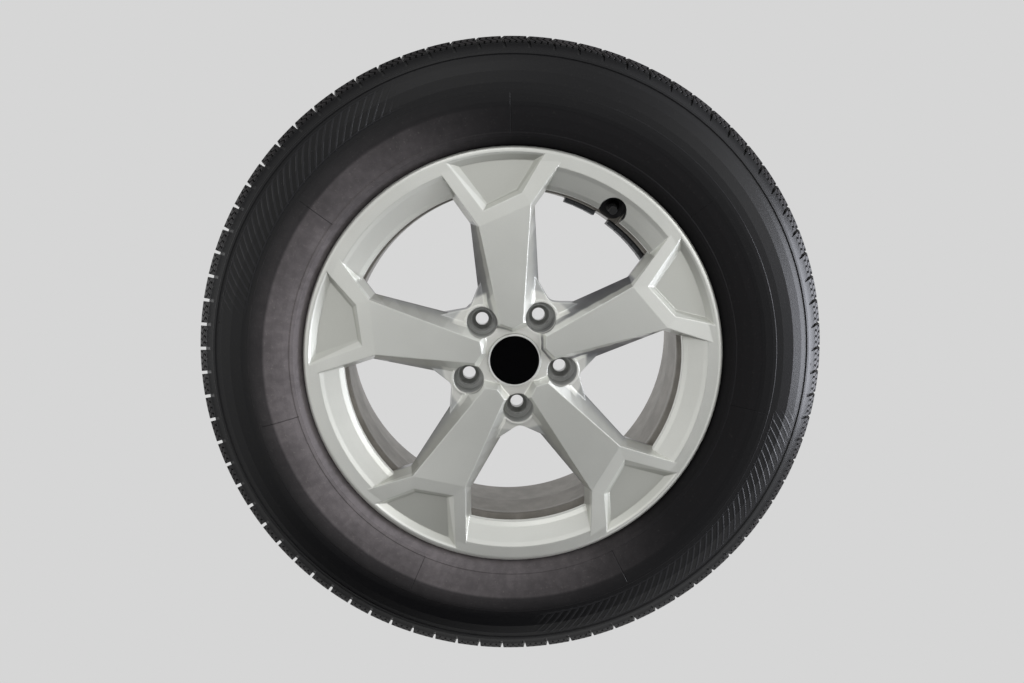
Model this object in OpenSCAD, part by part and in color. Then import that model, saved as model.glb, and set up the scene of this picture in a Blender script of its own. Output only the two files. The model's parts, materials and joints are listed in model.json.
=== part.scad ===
// Wheel and tyre assembly: a cast five-spoke wheel, its tyre, centre cap, snap-in valve and balance weights.
// The wheel turns about Y, its face looks towards -Y, and the origin is the middle of the tyre on that axis.
// Inside the modules Z is the wheel's axis towards the viewer, and depth is counted back from the lip's face.

/* [Wheel] */
// Width between the bead flanges
rim_width = 177.8; // [165.1:0.1:190.5]
// Diameter of the bead seats
bead_seat_d = 436.6; // [434:0.1:440]
// Height of the bead flange above the seat
flange_h = 17.5; // [16:0.1:19]
// Thickness of the bead flange along the axle
flange_t = 11; // [10:0.1:12]
// Depth of the drop centre below the bead seat
well_depth = 21; // [19:0.1:23]
// Wall of the barrel
barrel_wall = 4.6; // [4:0.1:6]
// Distance from the middle of the rim to the hub face
wheel_offset = 43; // [38:0.5:48]
// Turn of the wheel about its axle
wheel_turn = 4.65; // [0:0.05:72]

/* [Spokes] */
// How far the spoke faces stand in front of the lip at the fork
spoke_proud = 5.2; // [3:0.1:7]
// Half width of a spoke face at the hub
spoke_hub_half = 12.5; // [10:0.1:14]
// Half width of a spoke's flanks at their widest, near the hub
flank_half = 34; // [32:0.1:36]
// Depth of the flanks' widest line behind the lip
flank_depth = 20; // [17:0.5:24]
// Depth of the spokes' back faces behind the lip, at the hub
spoke_back = 47; // [44:0.5:50]
// Depth of the pocket in each fork
pocket_depth = 7.5; // [5:0.1:9]
// Radius of the pocket's outer edge
pocket_edge_r = 229; // [226:0.1:230]
// Depth of the hollow in each spoke's back
back_hollow = 34; // [20:0.5:36]

/* [Hub] */
// Diameter of the hub bore
hub_bore_d = 57.1; // [56:0.1:60]
// Diameter of the circle of bolt holes
bolt_circle_d = 112; // [110:0.1:114]
// Number of bolts and of spokes
bolt_count = 5; // [5:1:5]
// Diameter of a bolt hole
bolt_hole_d = 15; // [14.5:0.1:16]
// Diameter of a bolt head's recess
bolt_recess_d = 34.4; // [32:0.1:36]
// Radius of the ball seat of a bolt
ball_seat_r = 13; // [12:0.1:14]
// Thickness of metal under a ball seat
seat_land = 10; // [8:0.5:14]
// Diameter of the hub face
hub_face_d = 148; // [140:0.5:152]
// Radius of the web's edge behind a bolt hole
web_tip_r = 77.5; // [76:0.1:80]
// Depth of the web flats behind the lip
web_depth = 14; // [12:0.5:16]

/* [Tyre] */
// Outside diameter of the tyre
tyre_od = 711; // [700:0.5:720]
// Width of the tyre at its widest
tyre_width = 225; // [218:0.5:230]
// Width of the tread between its shoulders
tread_width = 170; // [160:0.5:176]
// Depth of the tread grooves
groove_depth = 8.5; // [6:0.1:9.5]
// Width of the grooves round the tyre
groove_w = 8; // [5:0.1:10]
// Width of the grooves across a shoulder
slot_w = 3.4; // [2.6:0.1:5]
// Number of shoulder blocks round each side
shoulder_blocks = 80; // [60:4:88]
// Clearance between the beads and the wheel
bead_gap = 0.3; // [0.1:0.05:0.5]

/* [Centre cap] */
// Outside diameter of the centre cap
cap_d = 59.8; // [58:0.1:62]
// Diameter of the black disc in the cap
cap_face_d = 55; // [50:0.1:56]
// Depth of the cap's rim behind the lip
cap_depth = 6.2; // [4:0.1:8]
// Clearance of the cap in its recess
cap_gap = 0.35; // [0.2:0.05:0.6]
// Number of clip fingers on the cap
clip_count = 8; // [6:1:10]

/* [Valve] */
// Diameter of the valve hole
valve_hole_d = 11.5; // [11.3:0.1:11.8]
// Tilt of the valve towards the hub
valve_tilt = 12; // [8:0.5:16]
// Radius of the valve hole's middle
valve_r = 206; // [205:0.1:207]
// Turn of the valve from the wheel's first bolt hole
valve_turn = -1.5; // [-4:0.1:4]
// Length of the valve outside the wheel, without its cap
valve_len = 30; // [28:0.5:31]
// Travel of the valve's pin
pin_travel = 1.5; // [1:0.1:2]

/* [Balance weights] */
// Width of a stick-on weight segment round the wheel
weight_w = 12; // [10:0.5:14]
// Width of a weight strip along the axle
weight_l = 19; // [14:0.5:20]
// Thickness of a weight segment
weight_t = 4; // [3:0.1:5]
// Thickness of the adhesive tape
tape_t = 0.9; // [0.6:0.1:1.2]

/* [Hidden] */
$fn = 96;

alloy = [0.74, 0.75, 0.73];
rubber = [0.10, 0.10, 0.11];
silver = [0.78, 0.79, 0.78];
gloss_black = [0.03, 0.03, 0.04];
steel = [0.60, 0.61, 0.62];
brass = [0.76, 0.62, 0.32];
lead_grey = [0.55, 0.56, 0.58];
foam = [0.16, 0.16, 0.17];
seal_red = [0.55, 0.14, 0.10];

face_z = rim_width / 2 + flange_t;
seat_r = bead_seat_d / 2;
flange_r = seat_r + flange_h;
tip_r = flange_t / 2;
tip_mid_r = flange_r - tip_r;
well_r = seat_r - well_depth;
well_in_r = well_r - barrel_wall;
back_depth = 2 * face_z;
pad_depth = face_z - wheel_offset;
lip_r = seat_r - 0.3;
lip_in_r = 192.5;
lip_in_depth = 13;
step = 360 / bolt_count;
overlap = 1;

function at(depth, r) = [r, face_z - depth];
function unit(v) = v / norm(v);
function mix(a, b, f) = a + (b - a) * f;
// The crossing of two lines, each given by a point and a direction
function crossing(p, u, q, v) =
    p + u * ((q[0] - p[0]) * v[1] - (q[1] - p[1]) * v[0]) / (u[0] * v[1] - u[1] * v[0]);
// Points on an arc, from one angle to another
function arc(mid, r, from, to, count) =
    [for (i = [0:count]) mid + r * [cos(mix(from, to, i / count)), sin(mix(from, to, i / count))]];
// A point at a depth on an outline in the face's plane
function level(p, depth) = [p[0], p[1], face_z - depth];

// The wheel stands on edge: its axis lies along Y and its face looks towards -Y
module stand() rotate([90, 0, 0]) rotate([0, 0, wheel_turn]) children();

// Copies at the spokes, the first one upwards
module at_spokes() for (i = [0:bolt_count - 1]) rotate([0, 0, 90 + i * step]) children();

// Copies at the bolt holes, midway between the spokes
module at_bolts() for (i = [0:bolt_count - 1]) rotate([0, 0, 90 + (i + 0.5) * step]) children();

// The middle of a list of points
function middle_of(points) = [for (k = [0:2]) [for (p = points) p[k]] * [for (p = points) 1] / len(points)];

// Closed solid through outlines with as many points each, from front to back, clockwise seen from the front
module loft(rings) {
    n = len(rings[0]);
    last = (len(rings) - 1) * n;
    front = len(rings) * n;
    points = concat([for (ring = rings) each ring], [middle_of(rings[0]), middle_of(rings[len(rings) - 1])]);
    ends = [for (i = [0:n - 1]) for (side = [0, 1])
        let (j = (i + 1) % n) side == 0 ? [front, i, j] : [front + 1, last + j, last + i]];
    sides = [for (k = [0:len(rings) - 2]) for (i = [0:n - 1]) for (side = [0, 1])
        let (a = k * n, b = a + n, j = (i + 1) % n)
        side == 0 ? [a + j, a + i, b + i] : [a + j, b + i, b + j]];
    polyhedron(points, concat(ends, sides));
}

// Rim barrel, drawn as depth behind the lip's face and radius

// Wall of the barrel: flanges, seats, humps and drop centre outside, the stepped lip and open barrel inside
hump_r = seat_r + 0.4;
seat_toe_r = seat_r - 1.1;
well_front = 50;
well_end = 88;
tip_steps = 10;
// Flange tip and bead seat heel of one end, from its face round to the seat
function flange_line(back) = [for (p = concat(
    [for (a = arc([tip_r, tip_mid_r], tip_r, 180, 0, tip_steps)) a],
    [[flange_t, seat_r + 6.2], [flange_t + 0.9, seat_r + 3.2], [flange_t + 2.9, seat_r + 1],
        [flange_t + 5.5, seat_r]])) at(back ? back_depth - p[0] : p[0], p[1])];
rear_flange = flange_line(true);
module barrel() rotate_extrude($fn = 180) polygon(concat(
    flange_line(false),
    [at(30, seat_toe_r), at(34, hump_r), at(38, hump_r),
        at(41, seat_r - 2.4), at(well_front, well_r + 0.8), at(well_front + 4, well_r),
        at(well_end, well_r), at(well_end + 6, well_r + 2), at(124, seat_r - 6.7), at(152, seat_r - 5.5),
        at(back_depth - 38, hump_r), at(back_depth - 34, hump_r), at(back_depth - 30, seat_toe_r)],
    [for (i = [len(rear_flange) - 1:-1:0]) rear_flange[i]],
    [at(back_depth, lip_r - 4),
        at(back_depth - 14, seat_r - 9), at(150, seat_r - 10.4), at(124, seat_r - 11.7),
        at(well_end + 6, well_r + 2 - barrel_wall), at(well_end, well_in_r), at(48, well_in_r),
        at(44, well_in_r - 1.2), at(39, well_in_r - 1.7), at(37, well_in_r - 0.9), at(32, seat_r - 12.5),
        at(24, seat_r - 13.5), at(21, lip_in_r + 1), at(19.5, lip_in_r), at(lip_in_depth, lip_in_r),
        at(9.6, 197.4), at(6, 205.4), at(2.4, 213.6), at(0, lip_r)]));

// Spokes, drawn with X outwards along the spoke and Y across it

fork_left = [151.7, 27.7];
fork_right = [171.6, -30.4];
arm_left = [216, 67.3];
arm_right = [216.5, -68.6];
arm_middle = [224, 0];
face_end = [37.5, 0];
face_end_left = [43, spoke_hub_half];
face_end_right = [43, -spoke_hub_half];
flank_left = [155.5, flank_half + 3.1];
flank_right = [169.4, -flank_half - 1.7];
flank_hub_left = [36, flank_half - 1];
flank_hub_right = [36, 1 - flank_half];
flank_end = [26, 0];
face_fall = 0.026;
back_rise = 0.062;
flank_steps = 6;
rear_inset = 3;

function face_level(p) = level(p, -spoke_proud + face_fall * (fork_right[0] - p[0]));
function flank_level(p) = level(p, flank_depth);
function back_level(p) = level(p, spoke_back - back_rise * (p[0] - face_end[0]));
function line_points(a, b) = [for (i = [0:flank_steps]) mix(a, b, i / flank_steps)];
// The outline of a spoke from its hub end out along its left flank and back along its right one
function spoke_line(hub_l, fork_l, arm_l, arm_m, arm_r, fork_r, hub_r, end) =
    concat(line_points(hub_l, fork_l), [arm_l, arm_m, arm_r], line_points(fork_r, hub_r), [end]);

arm_left_dir = unit(arm_left - fork_left);
arm_right_dir = unit(arm_right - fork_right);
flank_arm_left = flank_left + 60 * arm_left_dir;
flank_arm_right = flank_right + 50 * arm_right_dir;

spoke_face = concat([for (p = line_points(face_end_left, fork_left)) face_level(p)],
    [level(arm_left, 0.3), level(arm_middle, 0.3), level(arm_right, 0.3)],
    [for (p = line_points(fork_right, face_end_right)) face_level(p)], [face_level(face_end)]);
spoke_flank = [for (p = spoke_line(flank_hub_left, flank_left, flank_arm_left, arm_middle, flank_arm_right,
    flank_right, flank_hub_right, flank_end)) flank_level(p)];
inset_left = [0, -rear_inset];
inset_right = [0, rear_inset];
spoke_rear = [for (p = spoke_line(flank_hub_left + inset_left, flank_left + inset_left,
    flank_arm_left + inset_left, arm_middle, flank_arm_right + inset_right, flank_right + inset_right,
    flank_hub_right + inset_right, flank_end)) back_level(p)];

// One spoke from the front: trunk face, two arm faces and the bridge between them, then flanks and back
module spoke_body() {
    n = len(spoke_face);
    fork_l = flank_steps;
    fork_r = n - 2 - flank_steps;
    mid = fork_l + 2;
    face = [
        [for (i = [0:n - 1]) if (i <= fork_l || i >= fork_r) i],
        [fork_l, fork_l + 1, mid], [fork_l, mid, fork_r], [mid, mid + 1, fork_r]];
    sides = [for (ring = [0, 1]) for (i = [0:n - 1]) for (side = [0, 1])
        let (j = (i + 1) % n, a = ring * n, b = a + n)
        side == 0 ? [j + a, i + a, i + b] : [j + a, i + b, j + b]];
    polyhedron(concat(spoke_face, spoke_flank, spoke_rear),
        concat(face, [[for (i = [0:n - 1]) 3 * n - 1 - i]], sides));
}

// Room that a spoke may fill: it ends inside the barrel's wall
module spoke_room() rotate_extrude($fn = 180) polygon([at(-12, 0), at(-12, 229), at(8, 229),
    at(13, seat_r - 5), at(36, seat_r - 7), at(44, well_r + 0.6), at(50, well_r - 3), at(62, well_r - 3),
    at(62, 0)]);

// Pocket in the fork: three slanted walls, a sloping floor and a conical outer wall
pocket_left = [166, 23];
pocket_right = [184, -21.4];
pocket_left_dir = unit([221.5, 59.3] - pocket_left);
pocket_right_dir = unit([223, -50.4] - pocket_right);
pocket_mid_dir = unit(pocket_right - pocket_left);
wall_left = 10.4;
wall_mid = 6.5;
wall_right = 7;
wall_outer = 9;
floor_fall = 0.078;
function turned(v) = [-v[1], v[0]];
// A corner of the pocket, 0 at its mouth and 1 at its floor
function pocket_in_left(f) = crossing(
    pocket_left - turned(pocket_left_dir) * wall_left * f, pocket_left_dir,
    pocket_left + turned(pocket_mid_dir) * wall_mid * f, pocket_mid_dir);
function pocket_in_right(f) = crossing(
    pocket_right + turned(pocket_right_dir) * wall_right * f, pocket_right_dir,
    pocket_left + turned(pocket_mid_dir) * wall_mid * f, pocket_mid_dir);
function pocket_line(f) = [for (p = [pocket_in_left(f), pocket_in_left(f) + 85 * pocket_left_dir,
    pocket_in_right(f) + 85 * pocket_right_dir, pocket_in_right(f)])
    level(p, -spoke_proud + pocket_depth * f + floor_fall * (p[0] - pocket_left[0]))];

module pocket() intersection() {
    loft([pocket_line(-0.6), pocket_line(1)]);
    translate([0, 0, face_z - 14]) cylinder(h = 28, r1 = pocket_edge_r - 14 * wall_outer / pocket_depth,
        r2 = pocket_edge_r + 14 * wall_outer / pocket_depth, $fn = 180);
}

// Hollows in the back of a spoke: a channel in the trunk and a shallower one behind the fork
hollow_end = 156;
module back_hollows() {
    hollow_depth = spoke_back - back_hollow;
    channel_front = [level([92, 13], hollow_depth), level([hollow_end - 4, 17], hollow_depth),
        level([hollow_end - 4, -17], hollow_depth), level([92, -13], hollow_depth)];
    channel_rear = [level([86, 22], spoke_back + 6), level([hollow_end, 25], spoke_back + 6),
        level([hollow_end, -25], spoke_back + 6), level([86, -22], spoke_back + 6)];
    loft([channel_front, channel_rear]);
    fork_depth = pocket_depth + 6;
    fork_front = [level([179, 14], fork_depth), level([192, 22], fork_depth), level([194, -18], fork_depth),
        level([190, -14], fork_depth)];
    fork_rear = [level([170, 22], spoke_back + 6), level([188, 33], spoke_back + 6),
        level([190, -27], spoke_back + 6), level([182, -22], spoke_back + 6)];
    loft([fork_front, fork_rear]);
}

// Web between the spokes: a star whose inner corners are rounded round the bolt holes
web_back = pad_depth - 6;
web_point_r = 112;
web_point_turn = 24.6;
web_round = 11;
web_turn = 28;
function web_line(tip, depth) = [for (i = [bolt_count - 1:-1:0]) each
    let (bisector = 90 + (i + 0.5) * step, mid = (tip + web_round) * [cos(bisector), sin(bisector)],
        low = web_point_r * [cos(bisector + web_point_turn), sin(bisector + web_point_turn)],
        high = web_point_r * [cos(bisector - web_point_turn), sin(bisector - web_point_turn)])
    [for (p = concat([low], arc(mid, web_round, bisector + 180 - web_turn, bisector + 180 + web_turn, 6),
        [high])) level(p, depth)]];

module web() loft([web_line(web_tip_r, web_depth), web_line(web_tip_r + 1.5, flank_depth + 4),
    web_line(web_tip_r - 2, web_back)]);

// Hub: front ring, bolt bosses and the flat face that bolts to the car
hub_ring_depth = 9;
hub_ring_r = 41;
boss_depth = 11.5;
boss_wall = 2.4;
module hub_solid() {
    translate([0, 0, face_z - spoke_back]) cylinder(h = spoke_back - hub_ring_depth, r = hub_ring_r);
    translate([0, 0, face_z - pad_depth]) cylinder(h = pad_depth - spoke_back + overlap, d = hub_face_d);
    translate([0, 0, face_z - web_back - 2]) cylinder(h = 4, d1 = hub_face_d, d2 = hub_face_d + 8);
    at_bolts() translate([bolt_circle_d / 2, 0, face_z - spoke_back])
        cylinder(h = spoke_back - boss_depth, d = bolt_recess_d + 2 * boss_wall);
}

// Recess, ball seat and through hole of one bolt
seat_depth = pad_depth - seat_land;
module bolt_cut() translate([bolt_circle_d / 2, 0, 0]) {
    translate([0, 0, face_z - pad_depth - overlap]) cylinder(h = pad_depth + overlap, d = bolt_hole_d);
    seat_mid = seat_depth - sqrt(ball_seat_r * ball_seat_r - bolt_hole_d * bolt_hole_d / 4);
    translate([0, 0, face_z - seat_mid]) sphere(ball_seat_r);
    translate([0, 0, face_z - seat_mid]) cylinder(h = seat_mid + 10, d = bolt_recess_d);
}

// Hub bore, the cap's recess and the groove that its fingers catch in
cap_seat_depth = cap_depth + 5;
clip_bore_r = hub_bore_d / 2 - 0.4;
clip_groove_depth = 20;
module centre_cut() rotate_extrude() {
    translate(at(pad_depth + overlap, 0)) square([hub_bore_d / 2, pad_depth - 30 + overlap]);
    translate(at(31, 0)) square([clip_bore_r, 40]);
    translate(at(clip_groove_depth + 5, 0)) square([clip_bore_r + 1.4, 5]);
    translate(at(cap_seat_depth, 0)) square([cap_d / 2 + cap_gap, 30]);
    polygon([at(pad_depth + overlap, 0), at(pad_depth + overlap, hub_bore_d / 2 + 2.5),
        at(pad_depth - 1.5, hub_bore_d / 2), at(pad_depth - 1.5, 0)]);
}

// Relief pockets in the hub face, midway between the bolt holes
module pad_relief() at_spokes() translate([bolt_circle_d / 2 + 2, 0, face_z - pad_depth - overlap])
    cylinder(h = 7 + overlap, d = 26);

// Frame of the valve: Z is its stem's axis towards the cap, and Z 0 is the outside of the wheel's wall
valve_angle = 90 - 0.5 * step + valve_turn;
valve_wall = 4.5;
valve_depth = 42;
module valve_frame() rotate([0, 0, valve_angle]) translate([valve_r, 0, face_z - valve_depth])
    rotate([0, -valve_tilt, 0]) children();

// Notch for the valve through the lip, and the faced seats on both sides of its hole
notch_r = 14.5;
module valve_cut() valve_frame() {
    cylinder(h = 60, r = notch_r);
    translate([-2 * notch_r, -notch_r, 0]) cube([2 * notch_r, 2 * notch_r, 60]);
    translate([0, 0, -20]) cylinder(h = 60, d = valve_hole_d);
    translate([0, 0, -valve_wall - 18]) cylinder(h = 18, r = 11);
}

// Spokes and web in one, all in flat faces, at their own size
module spider() resize([0, 0, 0]) {
    at_spokes() intersection() {
        spoke_body();
        spoke_room();
    }
    web();
}

module rim() color(alloy) stand() difference() {
    union() {
        barrel();
        spider();
        hub_solid();
    }
    at_spokes() pocket();
    at_spokes() back_hollows();
    at_bolts() bolt_cut();
    centre_cut();
    pad_relief();
    valve_cut();
}

// Tyre, drawn as half width and radius

tyre_half = tyre_width / 2;
tyre_r = tyre_od / 2;
tread_half = tread_width / 2;
bead_half = rim_width / 2 - bead_gap;
function tyre_at(half, r) = [r, half];
// Radii of the step round the side wall and of the rib under the shoulder
band_r = flange_r + 55.5;
rib_r = tyre_r - 26.2;
// Outline of one side wall from the flange's tip past the protecting rib, step and upper rib to the shoulder
wall_outline = [
    [bead_half, tip_mid_r], [bead_half + 0.8, tip_mid_r + 3.4], [bead_half + 2.6, tip_mid_r + 5.8],
    [bead_half + 5.5, flange_r + 2.2], [tyre_half - 10.6, flange_r + 7.8], [tyre_half - 8.2, flange_r + 9.2],
    [tyre_half - 6.8, flange_r + 12.4], [tyre_half - 7.2, flange_r + 13.8], [tyre_half - 4.9, flange_r + 20],
    [tyre_half - 2.2, flange_r + 31], [tyre_half - 0.3, flange_r + 44], [tyre_half, flange_r + 52],
    [tyre_half - 0.1, band_r], [tyre_half - 0.9, band_r + 0.8], [tyre_half - 1.6, flange_r + 64],
    [tyre_half - 4, flange_r + 76], [tyre_half - 8.4, tyre_r - 33], [tyre_half - 11.9, rib_r],
    [tyre_half - 11.3, rib_r + 1.2], [tyre_half - 12.5, rib_r + 3.6], [tyre_half - 14, rib_r + 4.2],
    [tyre_half - 19.5, tyre_r - 13.5], [tread_half + 2.6, tyre_r - 6.8],
    [tread_half, tyre_r - 4.2], [tread_half * 0.8, tyre_r - 2.5], [tread_half * 0.5, tyre_r - 0.9],
    [tread_half * 0.2, tyre_r - 0.1]];
// Bead and inner liner from the tread's middle back to the bead's heel
liner_outline = [
    [tread_half * 0.3, tyre_r - 15.5], [tread_half * 0.7, tyre_r - 16.2],
    [tread_half - 4, tyre_r - 19], [tyre_half - 18, tyre_r - 31],
    [tyre_half - 10.5, tyre_r - 48], [tyre_half - 8, flange_r + 54], [tyre_half - 10.5, flange_r + 34],
    [tyre_half - 18, flange_r + 16], [bead_half - 10, flange_r + 1], [bead_half - 17, seat_r + 6],
    [bead_half - 19.5, seat_r], [bead_half - 19, seat_toe_r + bead_gap + 0.1],
    [bead_half - 5.5, seat_r + bead_gap], [bead_half - 2.9, seat_r + 1 + bead_gap],
    [bead_half - 0.8, seat_r + 3.2 + bead_gap], [bead_half, seat_r + 6.2 + bead_gap]];

function mirrored(points) = [for (i = [len(points) - 1:-1:0]) [-points[i][0], points[i][1]]];
module tyre_section() polygon([for (p = concat(wall_outline, mirrored(wall_outline), mirrored(liner_outline),
    liner_outline)) tyre_at(p[0], p[1])]);

// Grooves round the tread, at their distance from the middle
ring_grooves = [17, 50];
module ring_groove(half) rotate_extrude($fn = 180)
    translate([tyre_r - groove_depth - 0.6, half - groove_w / 2]) square([groove_depth + 4, groove_w]);

// Groove across one shoulder, from the outer ring groove down over the edge
slot_slant = 9;
slot_inner = ring_grooves[1];
module shoulder_slot() rotate([slot_slant, 0, 0]) rotate([90, 0, 0]) translate([0, 0, -slot_w / 2])
    linear_extrude(slot_w) polygon([[tyre_r - groove_depth, slot_inner],
        [tyre_r - groove_depth - 0.5, tread_half - 5], [tyre_r - 11.8, tread_half + 4.5],
        [tyre_r - 19.2, tread_half + 12.3], [tyre_r + 5, tread_half + 17], [tyre_r + 5, slot_inner]]);

// Slanted groove between the two ring grooves of one side
inner_slant = 32;
inner_blocks = shoulder_blocks / 2;
module inner_slot() translate([tyre_r - groove_depth, 0, (ring_grooves[0] + ring_grooves[1]) / 2])
    rotate([inner_slant, 0, 0]) translate([0, -2, -19]) cube([groove_depth + 4, 4, 38]);

module tyre() color(rubber) stand() difference() {
    rotate_extrude($fn = 180) tyre_section();
    for (half = ring_grooves) for (side = [-1, 1]) ring_groove(side * half);
    for (i = [0:shoulder_blocks - 1]) rotate([0, 0, i * 360 / shoulder_blocks]) {
        shoulder_slot();
        rotate([0, 0, 180 / shoulder_blocks]) mirror([0, 0, 1]) shoulder_slot();
    }
    for (i = [0:inner_blocks - 1]) rotate([0, 0, i * 360 / inner_blocks]) {
        inner_slot();
        rotate([0, 0, 180 / inner_blocks]) mirror([0, 0, 1]) inner_slot();
    }
}

// Centre cap

face_recess = 1.6;
finger_r = clip_bore_r - cap_gap;
finger_t = 2;
finger_end = clip_groove_depth + 7;
slit_w = 4;
wire_r = 0.9;
hook_depth = clip_groove_depth + 0.6;
module cap_body() color(silver) stand() difference() {
    rotate_extrude() polygon([at(cap_depth + face_recess, 0),
        at(cap_depth + face_recess, cap_face_d / 2 + 0.1), at(cap_depth, cap_face_d / 2 + 0.4),
        at(cap_depth, cap_d / 2 - 0.5), at(cap_depth + 0.5, cap_d / 2),
        at(cap_seat_depth - 0.05, cap_d / 2), at(cap_seat_depth - 0.05, finger_r), at(hook_depth, finger_r),
        at(hook_depth, finger_r + 1.2), at(hook_depth + 1.4, finger_r + 1.2), at(hook_depth + 4, finger_r),
        at(finger_end, finger_r - 0.4), at(finger_end, finger_r - finger_t),
        at(cap_depth + face_recess + 2, finger_r - finger_t), at(cap_depth + face_recess + 2, 0)]);
    for (i = [0:clip_count - 1]) rotate([0, 0, (i + 0.5) * 360 / clip_count])
        translate([0, -slit_w / 2, face_z - finger_end - overlap])
            cube([cap_d, slit_w, finger_end - cap_seat_depth - 1 + overlap]);
}

module cap_face() color(gloss_black) stand() translate([0, 0, face_z - cap_depth - face_recess])
    cylinder(h = face_recess - 0.2, d = cap_face_d);

module cap_wire() color(steel) stand() rotate_extrude()
    translate(at(clip_groove_depth + 2.5, finger_r - finger_t - wire_r)) circle(wire_r, $fn = 24);

// Valve, drawn along its own axis

head_t = 3.4;
stem_bore_r = 2.6;
stem_r = 3.85;
core_seat = valve_len - 17;
rubber_len = valve_len - 10;
module valve_rubber() color(rubber) stand() valve_frame() rotate_extrude($fn = 64) polygon([
    [stem_r, -valve_wall - head_t - 6], [7.2, -valve_wall - head_t - 6], [7.6, -valve_wall - head_t],
    [9.7, -valve_wall - head_t + 0.8], [9.4, -valve_wall - 0.1], [valve_hole_d / 2 - 0.1, -valve_wall - 0.1],
    [valve_hole_d / 2 - 0.1, 0.15], [7.6, 0.15], [7.5, 3],
    [5.9, 12], [5.3, rubber_len], [stem_r, rubber_len]]);

module valve_stem() color(brass) stand() valve_frame() rotate_extrude($fn = 64) difference() {
    polygon([[0, -valve_wall - head_t - 6.2], [stem_r - 0.05, -valve_wall - head_t - 6.2],
        [stem_r - 0.05, valve_len - 0.6], [stem_r - 0.5, valve_len], [0, valve_len]]);
    translate([0, -valve_wall - head_t - 8]) square([1.6, 60]);
    polygon([[0, core_seat - 1], [1.6, core_seat - 1], [stem_bore_r, core_seat + 1.4],
        [stem_bore_r, valve_len + 1], [0, valve_len + 1]]);
}

// Dust cap with its grip flutes and the seal inside
cap_out_r = 5;
cap_bore_r = stem_r + 0.03;
cap_top = valve_len + 3.4;
cap_bottom = valve_len - 7.6;
seal_t = 1.2;
flute_count = 12;
module valve_cap() color(rubber) stand() valve_frame() difference() {
    rotate_extrude($fn = 64) polygon([[0, valve_len + seal_t + 0.35], [cap_bore_r, valve_len + seal_t + 0.35],
        [cap_bore_r, cap_bottom], [cap_out_r - 0.3, cap_bottom], [cap_out_r, cap_bottom + 0.4],
        [cap_out_r, cap_top - 1], [cap_out_r - 1, cap_top], [0, cap_top]]);
    for (i = [0:flute_count - 1]) rotate([0, 0, i * 360 / flute_count])
        translate([cap_out_r + 0.35, 0, cap_bottom - 1])
            cylinder(h = cap_top - cap_bottom - 1.5, r = 0.7, $fn = 24);
}

module valve_cap_seal() color(foam) stand() valve_frame() translate([0, 0, valve_len + 0.3])
    cylinder(h = seal_t, r = cap_bore_r - 0.08, $fn = 64);

// Valve core: threaded nut, sleeve with its seal, and the sprung pin with its cup
core_r = stem_bore_r - 0.05;
nut_bottom = valve_len - 6.4;
core_bore_r = 1.35;
pin_r = 0.6;
barrel_bottom = core_seat + 0.4;
cup_gap = 0.05;
module core_nut() color(brass) stand() valve_frame() difference() {
    translate([0, 0, nut_bottom]) cylinder(h = 5.2, r = core_r, $fn = 48);
    translate([0, 0, nut_bottom - overlap]) cylinder(h = 9, r = pin_r + 0.05, $fn = 32);
    for (side = [-1, 1]) translate([side * 2.35 - 0.85, -4, nut_bottom + 2.6]) cube([1.7, 8, 4]);
}

module core_barrel() color(brass) stand() valve_frame() rotate_extrude($fn = 48) difference() {
    polygon([[0, barrel_bottom - 2], [1.5, barrel_bottom - 2], [1.5, barrel_bottom + 0.6],
        [1.75, barrel_bottom + 2.6], [2.2, barrel_bottom + 2.8], [2.2, nut_bottom - 0.05],
        [0, nut_bottom - 0.05]]);
    translate([0, barrel_bottom - 3]) square([pin_r + 0.3, 12]);
    translate([0, barrel_bottom - 0.8]) square([core_bore_r, 20]);
}

module core_gasket() color(seal_red) stand() valve_frame() rotate_extrude($fn = 48) polygon([
    [1.55, barrel_bottom + 0.7], [1.8, barrel_bottom + 0.7], [2.35, barrel_bottom + 1.5],
    [2.35, barrel_bottom + 2.7], [1.8, barrel_bottom + 2.5]]);

cup_top = barrel_bottom - 2.4;
pin_collar = barrel_bottom + 6.5;
module core_pin() color(brass) stand() valve_frame() {
    translate([0, 0, cup_top - 2.4]) cylinder(h = valve_len - 0.6 - cup_top + 2.4, r = pin_r, $fn = 32);
    translate([0, 0, pin_collar]) cylinder(h = 0.8, r = 1.15, $fn = 32);
}

module core_cup() color(brass) stand() valve_frame() translate([0, 0, cup_top - 2]) difference() {
    cylinder(h = 1.9, r = 1.35, $fn = 48);
    translate([0, 0, 1.2]) cylinder(h = 1.2, r = 1.15, $fn = 48);
    translate([0, 0, -overlap]) cylinder(h = 5, r = pin_r, $fn = 32);
}

module core_cup_seal() color(seal_red) stand() valve_frame() translate([0, 0, cup_top - 0.8]) difference() {
    cylinder(h = 1.1, r = 1.15, $fn = 48);
    translate([0, 0, -overlap]) cylinder(h = 4, r = pin_r, $fn = 32);
}

// The spring is one closed coil of round wire, swept round the pin
spring_turns = 6;
spring_r = 0.98;
spring_wire = 0.2;
spring_bottom = barrel_bottom - 0.55;
spring_top = pin_collar - 0.25;
ring_sides = 6;
turn_steps = 14;
module core_spring() color(steel) stand() valve_frame() {
    rings = spring_turns * turn_steps;
    points = [for (i = [0:rings]) for (k = [0:ring_sides - 1])
        let (turn = i * 360 / turn_steps, a = k * 360 / ring_sides, r = spring_r + spring_wire * cos(a))
        [r * cos(turn), r * sin(turn), mix(spring_bottom, spring_top, i / rings) + spring_wire * sin(a)]];
    sides = [for (i = [0:rings - 1]) for (k = [0:ring_sides - 1]) for (side = [0, 1])
        let (a = i * ring_sides, b = a + ring_sides, j = (k + 1) % ring_sides)
        side == 0 ? [a + k, b + k, b + j] : [a + k, b + j, a + j]];
    polyhedron(points, concat([[for (k = [0:ring_sides - 1]) k]],
        [[for (k = [0:ring_sides - 1]) len(points) - 1 - k]], sides));
}

// Balance weights on the inside of the drop centre

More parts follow.
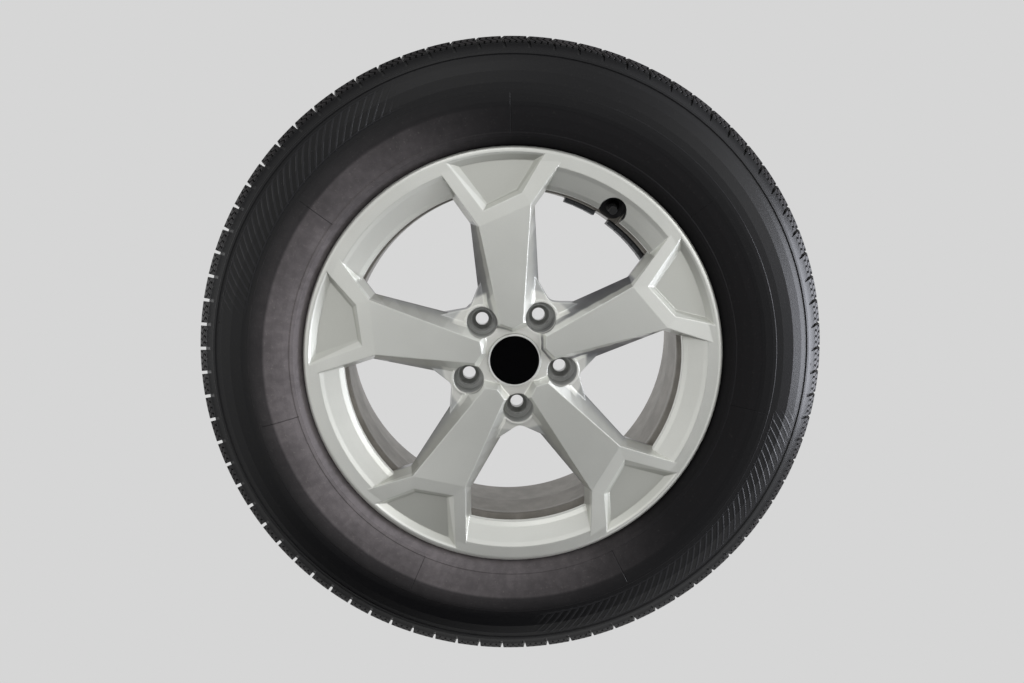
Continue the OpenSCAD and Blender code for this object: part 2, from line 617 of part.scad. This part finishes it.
weight_depth = well_end - 10 - weight_l;
segment_gap = 1.2;
tape_r = well_in_r - 0.1;
segment_pitch = (weight_w + segment_gap) / tape_r * 180 / PI;
strip_a_turn = 37;
strip_a_count = 5;
strip_b_turn = 62;
strip_b_count = 3;

// Copies at the segments of a strip that starts at an angle
module at_segments(turn, count) for (i = [0:count - 1])
    rotate([0, 0, turn - wheel_turn + i * segment_pitch]) children();

module weight_strip(turn, count) color(lead_grey) stand() at_segments(turn, count)
    translate([tape_r - tape_t - 0.6 - weight_t, -weight_w / 2, face_z - weight_depth - weight_l])
        cube([weight_t, weight_w, weight_l]);

module tape(turn, count) color(foam) stand() intersection() {
    rotate_extrude($fn = 180) translate(at(weight_depth + weight_l, tape_r - tape_t))
        square([tape_t, weight_l]);
    middle = turn - wheel_turn + (count - 1) / 2 * segment_pitch;
    half = count * (weight_w + segment_gap) / 2 - segment_gap / 2;
    rotate([0, 0, middle]) translate([tape_r / 2, -half, 0]) cube([tape_r, 2 * half, back_depth / 2]);
}

module weight_strip_a() weight_strip(strip_a_turn, strip_a_count);
module tape_a() tape(strip_a_turn, strip_a_count);
module weight_strip_b() weight_strip(strip_b_turn, strip_b_count);
module tape_b() tape(strip_b_turn, strip_b_count);

rim();
tyre();
cap_body();
cap_face();
cap_wire();
valve_rubber();
valve_stem();
valve_cap();
valve_cap_seal();
core_nut();
core_barrel();
core_gasket();
core_pin();
core_cup();
core_cup_seal();
core_spring();
weight_strip_a();
tape_a();
weight_strip_b();
tape_b();
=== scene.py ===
"""Looks of a car wheel and tyre: a silver cast wheel with forked spokes in a slightly dusty road tyre.

The CAD frame gives every solid. This script gives each its finish, and sets the camera, the light and the
plain backdrop. Lengths are in metres, in the row's frame: the wheel's axle lies along Y, its face looks
towards -Y, and the origin is the middle of the tyre on the axle. A pair of values is where something begins
and where it is complete, so a pair that falls belongs to what lies inside it.
"""

import json
import math

import bmesh
import bpy
import numpy as np
from mathutils import Matrix, Vector

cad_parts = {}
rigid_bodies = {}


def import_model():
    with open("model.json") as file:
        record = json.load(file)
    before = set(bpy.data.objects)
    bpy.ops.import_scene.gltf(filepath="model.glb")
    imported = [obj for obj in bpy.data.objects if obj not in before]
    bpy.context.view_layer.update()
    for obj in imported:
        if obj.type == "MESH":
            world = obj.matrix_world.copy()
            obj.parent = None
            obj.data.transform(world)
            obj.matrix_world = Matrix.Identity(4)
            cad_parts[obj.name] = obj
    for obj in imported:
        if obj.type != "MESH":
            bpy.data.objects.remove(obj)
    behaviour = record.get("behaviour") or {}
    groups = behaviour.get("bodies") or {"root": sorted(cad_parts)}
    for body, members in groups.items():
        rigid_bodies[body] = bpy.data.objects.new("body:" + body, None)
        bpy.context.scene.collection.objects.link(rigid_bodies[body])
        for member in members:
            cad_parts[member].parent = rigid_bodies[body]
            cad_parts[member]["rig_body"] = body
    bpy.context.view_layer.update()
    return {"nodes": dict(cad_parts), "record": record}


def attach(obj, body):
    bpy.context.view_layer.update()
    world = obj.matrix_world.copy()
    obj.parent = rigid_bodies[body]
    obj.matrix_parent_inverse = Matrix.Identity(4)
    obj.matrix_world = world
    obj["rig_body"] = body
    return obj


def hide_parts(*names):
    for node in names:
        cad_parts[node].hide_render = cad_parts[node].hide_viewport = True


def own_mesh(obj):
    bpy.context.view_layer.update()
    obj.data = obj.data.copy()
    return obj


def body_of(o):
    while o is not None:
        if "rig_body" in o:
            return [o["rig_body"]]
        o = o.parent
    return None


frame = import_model()

MM = 0.001


def mm(*lengths):
    """Lengths in millimetres, as metres."""
    return tuple(length * MM for length in lengths)


# The wheel's lip, spokes and bolts, as in the part's source
FACE_Y = -99.9 * MM
SPOKE_ANGLE = math.radians(94.65)
SPOKE_HALF_STEP = math.radians(36)
BOLT_CIRCLE_R = 56 * MM


def behind_face(*depths):
    """Depths in millimetres behind the lip's front face, as places along the axle."""
    return tuple(FACE_Y + depth * MM for depth in depths)


# The wheel's places where the lacquer has painted light and shade, and dust: radii from the axle, and places
# along it
SPOKES_R = mm(187, 184)
FLANKS_Y = behind_face(2, 5)
DEEP_Y = behind_face(5, 18)
WEB_R = mm(84, 80)
WEB_Y = behind_face(8, 15.5)
POCKETS_R = mm(160, 164)
POCKETS_Y = behind_face(0.8, 2.2)
POCKETS_ANGLE = math.radians(16.4), math.radians(15.2)
RECESS_R = mm(17.8, 17.3)
RECESS_Y = behind_face(13, 30)
WINDOW_WALLS_R = mm(190, 188)
WINDOW_WALLS_Y = behind_face(17, 23)
HUB_R = mm(40, 44)
BARREL_R = mm(183, 188)
BARREL_Y = mm(-83, -70)

# Stretches round the wheel: the middle of each in degrees, counted from the right over the top, and the
# cosines of the angle from there at which it begins and is complete
# Where the lacquer has painted light on one flank, and painted shade on the spokes' flanks
LIT_FLANK = 252, 0.970, 0.992
SHADED_SPOKE = 22, 0.90, 0.96
SHADED_FLANK = 108, 0.966, 0.985
UPPER_LEFT_RIBS = 142, 0.87, 0.93
LOWER_RIGHT_RIBS = -48, 0.78, 0.86
# Dust and painted light on the tyre's lower sidewall are strongest round this angle
DUSTIEST_AND_PAINTED_LIGHT_SIDE = 203, -0.55, 0.92

# The valve: its foot, its axis for one metre back and its notch in the lip
VALVE_AT = Vector((111.74, -57.9, 173.06)) * MM
VALVE_LEAN = Vector((0.1153, 1.0, 0.1786))
NOTCH_R = mm(15.6, 14.9)
NOTCH_FRONT_Y = behind_face(5, 9)
NOTCH_BACK_Y = mm(-53, -56)

# The tyre's radii
# Near the lip the sidewall's dust is strengthened, partly as painted light on its inner slope
LIP_DUST_AND_PAINTED_LIGHT_R = mm(240, 272)
DUSTY_SIDE_R = mm(273.5, 277.5)
DUST_FADES_R = mm(277, 299)
SEAMS_R = mm(248, 288)
SEAM_HALF_STEP = math.radians(25.7)
VENTS_R = mm(245, 246)
VENT_SPACING = 41.7 * MM
SHOULDER_R = mm(333, 343)
WORN_R = mm(343, 347)

# The ribbed band: its radii, the rings along it, and the ribs, which slant by half a right angle at RIBS_R
RIB_BAND_R = mm(296.5, 326.5)
RING_R = 297.5 * MM
RING_STEP = 28 * MM
RIBS_R = 310 * MM
RIB_STEP = 10 * MM

# The fine cuts in the tread: how many go round, the length of their waves, their slant and where they end
SIPES_ROUND = 80 * 4
SIPE_WAVE = 4 * MM
SIPES_PER_METRE_OUT = 130
SIPES_R = mm(341.5, 343)

# The photographer's camera, fitted to the wheel's flange, bolt holes and barrel edges
LENS_MM = 28.31
SENSOR_MM = 36.0
CAMERA_AT = Vector((-35.26, -985.83, 156.16)) * MM
CAMERA_RIGHT = Vector((0.99936, -0.03530, 0.00533))
CAMERA_FORWARD = Vector((0.03570, 0.98817, -0.14916))

# The room: the backdrop that the camera sees, and the strength of the white that lights the wheel
BACKDROP = "D6D6D6"
AMBIENT = 0.76
# Soft boxes: name, place in metres, width in metres, watts and colour
SOFT_BOXES = (
    ("soft box right", (2.2, -0.1, 0.0), 1.5, 82, "F2F5FF"),
    ("soft box upper right", (1.55, -0.2, 1.55), 1.4, 4, "F4F7FF"),
    ("soft box left, behind", (-2.1, 0.7, 0.2), 1.4, 10, "FFFFFF"),
    ("soft box front right", (1.6, -1.4, 0.8), 1.2, 7, "FFFFFF"),
    ("soft box front top", (-0.5, -1.4, 1.7), 1.2, 4.5, "FFFFFF"),
    ("soft box front left", (-1.7, -1.4, 0.2), 1.2, 2, "FFFFFF"),
)
# Dark cards: name, place in metres, width and height in metres
DARK_CARDS = (
    ("dark card below", (-0.5, -1.0, -1.5), 2.4, 1.6),
    ("dark card behind the camera", (0.35, -2.2, -0.6), 1.1, 1.0),
)


def linear(hex_colour):
    """Turns an sRGB hex colour into linear red, green, blue and alpha."""
    parts = [int(hex_colour[i:i + 2], 16) / 255 for i in (0, 2, 4)]
    return [p / 12.92 if p <= 0.04045 else ((p + 0.055) / 1.055) ** 2.4 for p in parts] + [1.0]


def node(tree, kind, inputs=(), out=0, **settings):
    """Adds a shader node with its settings, and fills its inputs, in their order or by name.

    An input is a constant or another node's output. Gives the output asked for, or the node itself.
    """
    made = tree.nodes.new("ShaderNode" + kind)
    for name, value in settings.items():
        setattr(made, name, value)
    for place, value in inputs.items() if isinstance(inputs, dict) else enumerate(inputs):
        if isinstance(value, bpy.types.NodeSocket):
            tree.links.new(value, made.inputs[place])
        else:
            made.inputs[place].default_value = value
    return made if out is None else made.outputs[out]


def worked(tree, value, *steps):
    """A value carried through steps of arithmetic, each an operation and its further values."""
    for operation, *others in steps:
        value = node(tree, "Math", (value, *others), operation=operation)
    return value


def product(tree, first, *others):
    """Values multiplied."""
    return worked(tree, first, *[("MULTIPLY", other) for other in others])


def strongest(tree, first, *others):
    """The highest of some values."""
    return worked(tree, first, *[("MAXIMUM", other) for other in others])


def distance(tree, across, up):
    """The length of the straight line that goes so far across and so far up."""
    return worked(tree, product(tree, across, across), ("ADD", product(tree, up, up)), ("SQRT",))


def where(tree, *steps):
    """How far each value has come from its first limit to its second, with smooth ends, all multiplied.

    A step that gives two more numbers goes from the one to the other instead of from 0 to 1.
    """
    return product(tree, *[node(tree, "MapRange", step, interpolation_type="SMOOTHSTEP") for step in steps])


def between(tree, value, low, high, soft):
    """One between two limits and zero outside them, with soft edges."""
    return where(tree, (value, low - soft, low + soft), (value, high + soft, high - soft))


def facing(tree, angle, degrees, low, high):
    """One round an angle of the wheel and zero away from it, by the cosine of the angle between."""
    return where(tree, (worked(tree, angle, ("SUBTRACT", math.radians(degrees)), ("COSINE",)), low, high))


def mottle(tree, point, size, detail, limits=None):
    """Even noise with a grain of that size, from 0 to 1, or how far it has come from limit to limit."""
    grain = node(tree, "TexNoise", {"Vector": point, "Scale": 1 / size, "Detail": detail, "Roughness": 0.55})
    return where(tree, (grain, *limits)) if limits else grain


def painted(tree, colour, *layers):
    """A colour with layers over it. Each layer is how much of it there is, from 0 to 1, and its colour."""
    for amount, layer in layers:
        colour = node(tree, "Mix", {0: amount, 6: colour, 7: layer}, out=2, data_type="RGBA")
    return colour


def wheel_places(tree):
    """A point's Object coordinates, its place along the axle, its radius from it and its angle round it."""
    point = node(tree, "TexCoord", out="Object")
    x, y, z = node(tree, "SeparateXYZ", (point,), out=None).outputs
    return point, y, distance(tree, x, z), worked(tree, z, ("ARCTAN2", x))


def material(name):
    """A new material whose tree holds only a Principled shader and the output."""
    made = bpy.data.materials.new(name)
    made.use_nodes = True
    tree = made.node_tree
    tree.nodes.clear()
    shader = node(tree, "BsdfPrincipled", out=None)
    node(tree, "OutputMaterial", (shader.outputs[0],), out=None)
    return made, tree, shader


def put(tree, shader, **values):
    """Sets or links the shader's own sockets."""
    for name, value in values.items():
        socket = shader.inputs[name.replace("_", " ")]
        if isinstance(value, bpy.types.NodeSocket):
            tree.links.new(value, socket)
        else:
            socket.default_value = value


def bolt_distance(tree, radius, off_spoke):
    """Distance from the nearest bolt's axis. The bolts lie midway between the spokes."""
    off_bolt = worked(tree, SPOKE_HALF_STEP, ("SUBTRACT", off_spoke))
    along = worked(tree, off_bolt, ("COSINE",), ("MULTIPLY", radius), ("SUBTRACT", BOLT_CIRCLE_R))
    return distance(tree, along, worked(tree, off_bolt, ("SINE",), ("MULTIPLY", radius)))


def valve_notch_painted_shadow(tree, point, y):
    """Where the valve's notch gets painted shadow: one in the notch, by the distance from the valve's leaning
    axis, and zero elsewhere.
    """
    x, _, z = node(tree, "SeparateXYZ", (point,), out=None).outputs
    behind = worked(tree, y, ("SUBTRACT", VALVE_AT.y))
    off_x = worked(tree, x, ("SUBTRACT", worked(tree, behind, ("MULTIPLY_ADD", VALVE_LEAN.x, VALVE_AT.x))))
    off_z = worked(tree, z, ("SUBTRACT", worked(tree, behind, ("MULTIPLY_ADD", VALVE_LEAN.z, VALVE_AT.z))))
    return where(tree, (distance(tree, off_x, off_z), *NOTCH_R), (y, *NOTCH_FRONT_Y), (y, *NOTCH_BACK_Y))


def lacquered_cast_alloy():
    """Cast aluminium, primed, sprayed silver and lacquered: fine metal flake under a clear, smooth coat.

    The eye gets soft reflections on the wide faces, bright thin lines along the rounded edges, a painted
    highlight on the web round the hub, painted shade on the flanks deep behind the face, lifted by painted
    light on one flank and stronger on two spokes, painted shade in the pockets, on the windows' walls and in
    the grey bolt recesses, a painted shadow in the valve's notch, and a darker barrel behind the spokes, from
    dust and painted shade. The flake is drawn as coarse as it needs to show.
    """
    made, tree, shader = material("cast aluminium, silver lacquer")
    point, y, radius, angle = wheel_places(tree)
    off_spoke = worked(tree, angle, ("SUBTRACT", SPOKE_ANGLE), ("PINGPONG", SPOKE_HALF_STEP))
    bolt_r = bolt_distance(tree, radius, off_spoke)

    # Painted shade darkens the flanks deep behind the face; round the lit flank it fades, as painted light
    deep = where(tree, (y, *DEEP_Y), (radius, *SPOKES_R))
    lit = facing(tree, angle, *LIT_FLANK)
    # Painted shade on the flanks of two spokes, and weaker on one more stretch
    shaded = product(tree, strongest(tree, facing(tree, angle, *SHADED_SPOKE),
                                     product(tree, facing(tree, angle, *SHADED_FLANK), 0.65)),
                     where(tree, (y, *FLANKS_Y), (radius, *SPOKES_R)))
    # Painted highlight on the web round the hub
    web = product(tree, between(tree, y, *WEB_Y, 0.8 * MM), where(tree, (radius, *WEB_R)))
    # Painted shade on the pockets' floors
    pockets = where(tree, (off_spoke, *POCKETS_ANGLE), (y, *POCKETS_Y), (radius, *POCKETS_R))
    # Painted shade on the windows' walls, deep behind the face
    window_walls_painted_shade = where(tree, (y, *WINDOW_WALLS_Y), (radius, *WINDOW_WALLS_R), (radius, *HUB_R),
                         (bolt_r, *reversed(RECESS_R)))
    # Painted shade in the bolt recesses
    recesses = where(tree, (bolt_r, *RECESS_R), (y, *RECESS_Y))
    # Dust and painted shade darken the barrel behind the spokes
    barrel = where(tree, (radius, *BARREL_R), (y, *BARREL_Y))
    dust = mottle(tree, point, 25 * MM, 4.0, (0.3, 0.7))
    # Over the paint: a random tone, then painted shade and painted light on the flanks, a painted highlight
    # on the web, painted shade in the pockets, on the windows' walls and in the bolt recesses, dust and
    # painted shade on the barrel, and a painted shadow in the notch
    colour = painted(
        tree, linear("D4D5CF"),
        (mottle(tree, point, 111 * MM, 3.0, (0.35, 0.65)), linear("DBDCD6")),
        (product(tree, deep, worked(tree, lit, ("MULTIPLY_ADD", -0.4, 0.4))), linear("A0A3AC")),
        (product(tree, shaded, 0.8), linear("56565E")),
        (product(tree, web, 0.9), linear("F6F6F0")),
        (pockets, linear("C3C4BD")),
        (product(tree, window_walls_painted_shade, 0.85), linear("5B5A60")),
        (product(tree, recesses, 0.5), linear("85857F")),
        (barrel, painted(tree, linear("77736C"), (dust, linear("8B8780")))),
        # Painted shadow in the valve's notch
        (valve_notch_painted_shadow(tree, point, y), linear("1B1B1D")),
    )
    flake = mottle(tree, point, 0.385 * MM, 2.0)
    flake_colour = node(tree, "CombineColor", (flake, flake, flake))
    colour = node(tree, "Mix", {0: 0.25, 6: colour, 7: flake_colour}, out=2, data_type="RGBA",
                  blend_type="SOFT_LIGHT")
    edges = node(tree, "Bevel", {"Radius": 1.6 * MM}, samples=6)
    relief = node(tree, "Bump", {"Strength": 0.03, "Distance": 0.4 * MM, "Normal": edges,
                                 "Height": mottle(tree, point, 1.43 * MM, 3.0)})
    put(tree, shader, Base_Color=colour, Metallic=0.62, Roughness=where(tree, (barrel, 0, 1, 0.36, 0.55)),
        Coat_Weight=0.45, Coat_Roughness=0.12, Normal=relief)
    return made


def sipes(tree, y, radius, angle):
    """Fine wavy cuts across the tread, slanted where they run down the shoulder.

    The angle is counted in cuts, moved to and fro along the axle and shifted with the radius. A cut lies
    round the middle of each count.
    """
    wave = worked(tree, y, ("MULTIPLY", 1 / SIPE_WAVE), ("PINGPONG", 0.5))
    count = worked(tree, angle, ("MULTIPLY_ADD", SIPES_ROUND / (2 * math.pi), wave))
    count = worked(tree, radius, ("MULTIPLY_ADD", -SIPES_PER_METRE_OUT, count))
    off_middle = worked(tree, count, ("FRACT",), ("SUBTRACT", 0.5), ("ABSOLUTE",))
    return where(tree, (off_middle, 0.19, 0.08), (radius, *SIPES_R))


def raised_ribs(tree, radius, angle):
    """Plain raised ribs on two stretches of the tyre's dark band, slanting between two rings.

    Gives the ribs and rings, and the stretch that they lie on.
    """
    sides = [facing(tree, angle, *side) for side in (UPPER_LEFT_RIBS, LOWER_RIGHT_RIBS)]
    stretch = product(tree, strongest(tree, *sides), between(tree, radius, *RIB_BAND_R, 0.8 * MM))
    off_ring = worked(tree, radius, ("SUBTRACT", RING_R), ("PINGPONG", RING_STEP / 2))
    off_rib = worked(tree, angle, ("MULTIPLY_ADD", RIBS_R, radius), ("PINGPONG", RIB_STEP / 2))
    lines = strongest(tree, where(tree, (off_ring, *mm(0.9, 0.5))), where(tree, (off_rib, *mm(1.8, 1.0))))
    return product(tree, lines, stretch), stretch


def road_rubber():
    """Moulded black tyre rubber with road dust.

    The eye gets a near-black, faintly shining band under the shoulder with plain raised ribs on two
    stretches, a grey-brown dusty lower sidewall, lightest at the lower left and near the lip from dust and
    painted light, with thin mould seams, and fine cuts in the shoulder blocks, darkened by painted shade.
    """
    made, tree, shader = material("moulded tyre rubber, dusty")
    point, y, radius, angle = wheel_places(tree)
    ribs, stretch = raised_ribs(tree, radius, angle)
    cuts = sipes(tree, y, radius, angle)
    off_seam = product(tree, worked(tree, angle, ("ADD", 0.2), ("PINGPONG", SEAM_HALF_STEP)), radius)
    seams = product(tree, where(tree, (off_seam, *mm(0.7, 0.25))), between(tree, radius, *SEAMS_R, 0.5 * MM))
    off_vent = node(tree, "TexVoronoi", {"Vector": point, "Scale": 1 / VENT_SPACING}, out="Distance")
    vents = where(tree, (off_vent, 0.032, 0.018), (radius, *VENTS_R))

    low = worked(tree, where(tree, (radius, *DUSTY_SIDE_R, 0.72, 0.0)),
                 ("ADD", where(tree, (radius, *DUST_FADES_R, 0.28, 0.0))))
    cloud = mottle(tree, point, 62.5 * MM, 6.0, (0.3, 0.75))
    streak = mottle(tree, point, 7.69 * MM, 4.0, (0.35, 0.7))
    # Dust and painted light: the lower sidewall is made lightest at the lower left and near the lip, where
    # its inner slope faces the soft box on the right
    dust = product(tree, low, facing(tree, angle, *DUSTIEST_AND_PAINTED_LIGHT_SIDE),
                   worked(tree, cloud, ("MULTIPLY_ADD", 0.35, 0.72)),
                   worked(tree, streak, ("MULTIPLY_ADD", 0.2, 0.85)),
                   where(tree, (radius, *LIP_DUST_AND_PAINTED_LIGHT_R, 1.25, 0.85)))
    worn = product(tree, where(tree, (radius, *WORN_R)), worked(tree, cloud, ("MULTIPLY_ADD", 0.12, 0.06)))
    dust = strongest(tree, dust, worn, product(tree, low, 0.03))
    specks = product(tree, mottle(tree, point, 2.38 * MM, 3.0, (0.58, 0.8)),
                     worked(tree, dust, ("MULTIPLY_ADD", 0.4, 0.03)))
    colour = painted(
        tree, linear("0C0C0E"),
        (dust, linear("696465")),
        (specks, linear("8A857F")),
        (product(tree, stretch, 0.6), linear("060607")),
        (product(tree, ribs, 0.8), linear("1E1E21")),
        # Painted shade in the fine cuts
        (product(tree, cuts, 0.9), linear("030303")),
        (product(tree, strongest(tree, seams, vents), 0.5), linear("0A0A0B")),
    )
    grain = mottle(tree, point, 1.11 * MM, 3.0)
    height = 0.0
    for form, rise in ((ribs, 0.6), (vents, 0.5), (cuts, -1.5), (seams, -0.4), (grain, 0.1)):
        height = worked(tree, form, ("MULTIPLY_ADD", rise, height))
    relief = node(tree, "Bump", {"Strength": 1.0, "Distance": 1.0 * MM, "Height": height})
    shine = where(tree, (low, 0, 0.72, 0.25, 0.13), (radius, *SHOULDER_R, 1.0, 0.45), (cuts, 0, 1, 1.0, 0.1))
    put(tree, shader, Base_Color=colour, Roughness=where(tree, (low, 0, 0.72, 0.37, 0.6)),
        Specular_IOR_Level=shine, Normal=relief)
    return made


def plain(name, colour, roughness, metallic=0.0, coat=0.0, grain=0.0):
    """A plain finish with a faint grain."""
    made, tree, shader = material(name)
    point = node(tree, "TexCoord", out="Object")
    darker = [0.85 * part for part in linear(colour)[:3]] + [1.0]
    tone = painted(tree, linear(colour), (mottle(tree, point, 11.1 * MM, 4.0, (0.3, 0.7)), darker))
    relief = node(tree, "Bump", {"Strength": grain, "Distance": 0.2 * MM,
                                 "Height": mottle(tree, point, 0.667 * MM, 4.0)})
    put(tree, shader, Base_Color=tone, Roughness=roughness, Metallic=metallic, Coat_Weight=coat,
        Normal=relief)
    return made


def finishes():
    """Each material slot's finish. Its name says what it is and how it was made.

    The comment above it, or its own function, says what that gives the eye.
    """
    return {
        "silver_alloy": lacquered_cast_alloy(),
        "tyre_rubber": road_rubber(),
        # A pale satin ring, less metallic than the wheel
        "silver_plastic": plain("injection moulded plastic, silver sprayed", "E2E3DF", 0.42, 0.3, 0.3),
        # A deep black mirror
        "gloss_black_plastic": plain("injection moulded plastic, piano black", "050506", 0.06, 0.0, 1.0),
        # Bright grey wire with sharp highlights
        "spring_steel": plain("drawn spring steel", "A9ABAE", 0.25, 1.0),
        # A dull dark skin
        "valve_rubber": plain("moulded rubber", "1C1C1D", 0.55, grain=0.2),
        # Warm yellow metal with turned highlights
        "brass": plain("turned brass", "C2A35A", 0.28, 1.0),
        # A dark cap with a soft sheen
        "black_plastic": plain("injection moulded nylon, black", "151516", 0.38, grain=0.1),
        # A dull, soft black
        "seal_rubber": plain("moulded rubber, soft", "1F1F20", 0.6),
        # A dark red, waxy seal
        "core_seal": plain("moulded fluoropolymer, red", "8C2A1E", 0.45),
        # Grey blocks with a dull metal sheen
        "coated_weight": plain("pressed steel, grey coated", "5A5C5F", 0.45, 0.5),
        # A matt dark line under the weights
        "foam_tape": plain("acrylic foam tape", "2A2A2C", 0.8),
    }


def dress(made):
    """Gives every CAD node the finish of its slot in the record."""
    for part in frame["record"]["subparts"]:
        shown = frame["nodes"][part["node"]]
        for place in shown.material_slots:
            place.material = made[part["material_slot"]]


def shortening_spring(finish):
    """The valve core's spring, as an object of its own in place of the CAD node.

    Its surface is a merged copy of the CAD solid: a round wire swept along a helix round the valve's axis.
    """
    solid = frame["nodes"]["core_spring"]
    body = body_of(solid)[0]
    mesh = solid.data.copy()
    mesh.name = "valve_core_spring"
    mesh.transform(solid.matrix_world)
    merged = bmesh.new()
    merged.from_mesh(mesh)
    bmesh.ops.remove_doubles(merged, verts=merged.verts, dist=0.001 * MM)
    merged.to_mesh(mesh)
    merged.free()
    mesh.materials.clear()
    mesh.materials.append(finish)
    made = bpy.data.objects.new("valve_core_spring", mesh)
    bpy.context.scene.collection.objects.link(made)
    places = np.empty(3 * len(mesh.vertices))
    mesh.vertices.foreach_get("co", places)
    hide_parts("core_spring")
    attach(made, body)
    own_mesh(made)


def soft_box(name, at, size, watts, colour):
    """A square lamp that looks at the wheel and that the camera doesn't see."""
    lamp = bpy.data.lights.new(name, "AREA")
    lamp.size = size
    lamp.energy = watts
    lamp.color = linear(colour)[:3]
    holder = bpy.data.objects.new(name, lamp)
    holder.location = at
    holder.rotation_mode = "QUATERNION"
    holder.rotation_quaternion = (-Vector(at)).to_track_quat("-Z", "Y")
    holder.visible_camera = False
    bpy.context.scene.collection.objects.link(holder)


def dark_card(name, at, across, up):
    """A black card that faces the wheel, so that its lacquer has something dark to reflect.

    Its corners are half its width to either side of its place, and half its height up and down from there.
    """
    away = Vector(at).normalized()
    side = away.cross(Vector((0, 0, 1))).normalized() * across / 2
    rise = side.cross(away).normalized() * up / 2
    mesh = bpy.data.meshes.new(name)
    corners = [Vector(at) + a * side + b * rise for a, b in ((-1, -1), (1, -1), (1, 1), (-1, 1))]
    mesh.from_pydata([list(corner) for corner in corners], [], [(0, 1, 2, 3)])
    made, tree, shader = material("black felt")
    put(tree, shader, Base_Color=linear("0C0C0C"), Roughness=0.95, Specular_IOR_Level=0.1)
    mesh.materials.append(made)
    card = bpy.data.objects.new(name, mesh)
    bpy.context.scene.collection.objects.link(card)
    card.visible_camera = False


def studio():
    """Soft boxes and dark cards round the wheel, and a plain pale backdrop that the camera sees behind it."""
    for box in SOFT_BOXES:
        soft_box(*box)
    for card in DARK_CARDS:
        dark_card(*card)
    world = bpy.data.worlds.new("pale studio")
    bpy.context.scene.world = world
    world.use_nodes = True
    tree = world.node_tree
    tree.nodes.clear()
    rays = node(tree, "LightPath", out=None).outputs
    seen = worked(tree, rays["Is Camera Ray"], ("ADD", rays["Is Glossy Ray"]),
                  ("ADD", rays["Is Transmission Ray"]), ("MINIMUM", 1.0))
    ambient = node(tree, "Background", (linear("FFFFFF"), AMBIENT))
    backdrop = node(tree, "Background", (linear(BACKDROP), 1.0))
    node(tree, "OutputWorld", (node(tree, "MixShader", (seen, ambient, backdrop)),), out=None)


def photographer():
    """The camera that took the photograph."""
    eye = bpy.data.cameras.new("camera")
    eye.lens, eye.sensor_width = LENS_MM, SENSOR_MM
    eye.clip_start, eye.clip_end = 0.02, 50
    holder = bpy.data.objects.new("camera", eye)
    forward = CAMERA_FORWARD.normalized()
    right = (CAMERA_RIGHT - CAMERA_RIGHT.dot(forward) * forward).normalized()
    up = right.cross(forward)
    turn = Matrix((right, up, -forward)).transposed()
    holder.rotation_mode = "QUATERNION"
    holder.rotation_quaternion = turn.to_quaternion()
    holder.location = CAMERA_AT
    bpy.context.scene.collection.objects.link(holder)
    bpy.context.scene.camera = holder


finish_of = finishes()
dress(finish_of)
shortening_spring(finish_of["spring_steel"])
studio()
photographer()
bpy.context.scene.view_settings.view_transform = "Standard"
